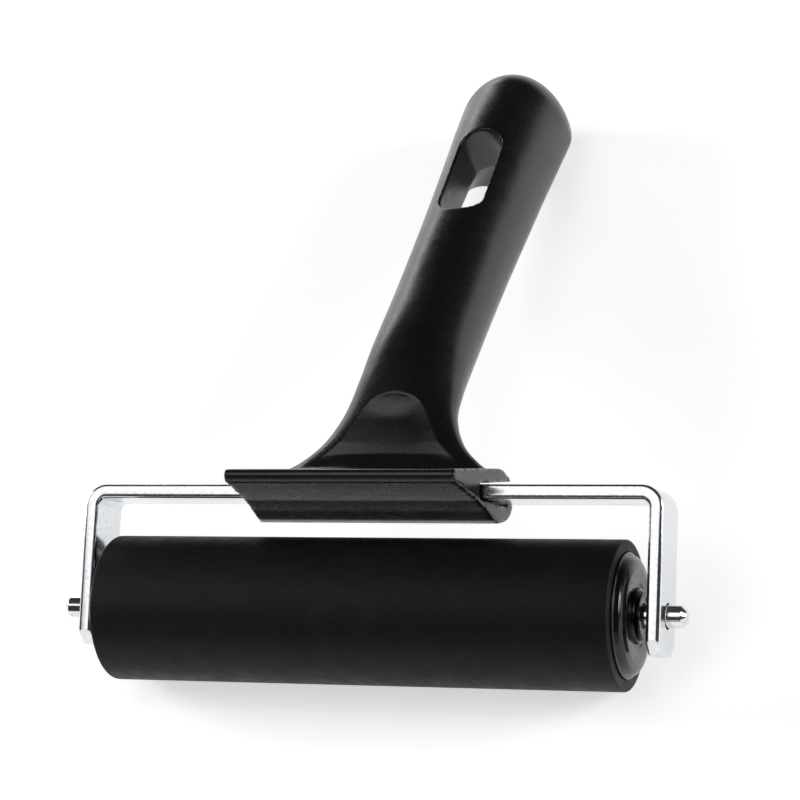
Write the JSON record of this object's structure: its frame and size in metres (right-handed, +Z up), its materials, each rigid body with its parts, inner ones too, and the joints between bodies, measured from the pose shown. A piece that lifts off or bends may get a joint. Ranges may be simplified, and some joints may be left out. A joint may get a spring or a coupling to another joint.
{
  "type": "rubber brayer",
  "caption": "Rubber-covered roller turning in a bent steel strap, with a moulded handle that has a flared neck and a hang slot.",
  "frame": {"origin": "middle of the resting brayer's box, on the table it lies on", "axes": "+X along the roller's axle, +Z up, +Y from the roller towards the handle's tip; the strap and handle are tilted back until the tip rests on the table"},
  "size_m": [0.1342, 0.1714, 0.0469],
  "materials": {
    "handle_plastic": "satin black, fine moulded grain",
    "cap_plastic": "glossy black",
    "core_plastic": "plain grey",
    "rubber": "matte black, ground smooth",
    "plated_steel": "bright zinc plate",
    "axle_steel": "bright drawn steel"
  },
  "bodies": {
    "frame": {"handle": "handle_plastic", "frame_strap": "plated_steel"},
    "roller": {"roller_rubber": "rubber", "roller_core": "core_plastic", "end_cap_right": "cap_plastic", "end_cap_left": "cap_plastic", "thrust_washer_right": "cap_plastic", "thrust_washer_left": "cap_plastic", "axle": "axle_steel"}
  },
  "joints": [
    {"name": "roller_spin", "type": "hinge", "parent": "frame", "child": "roller", "pos_m": [0, -0.07073, 0.015], "axis": [1, 0, 0], "continuous": true}
  ]
}
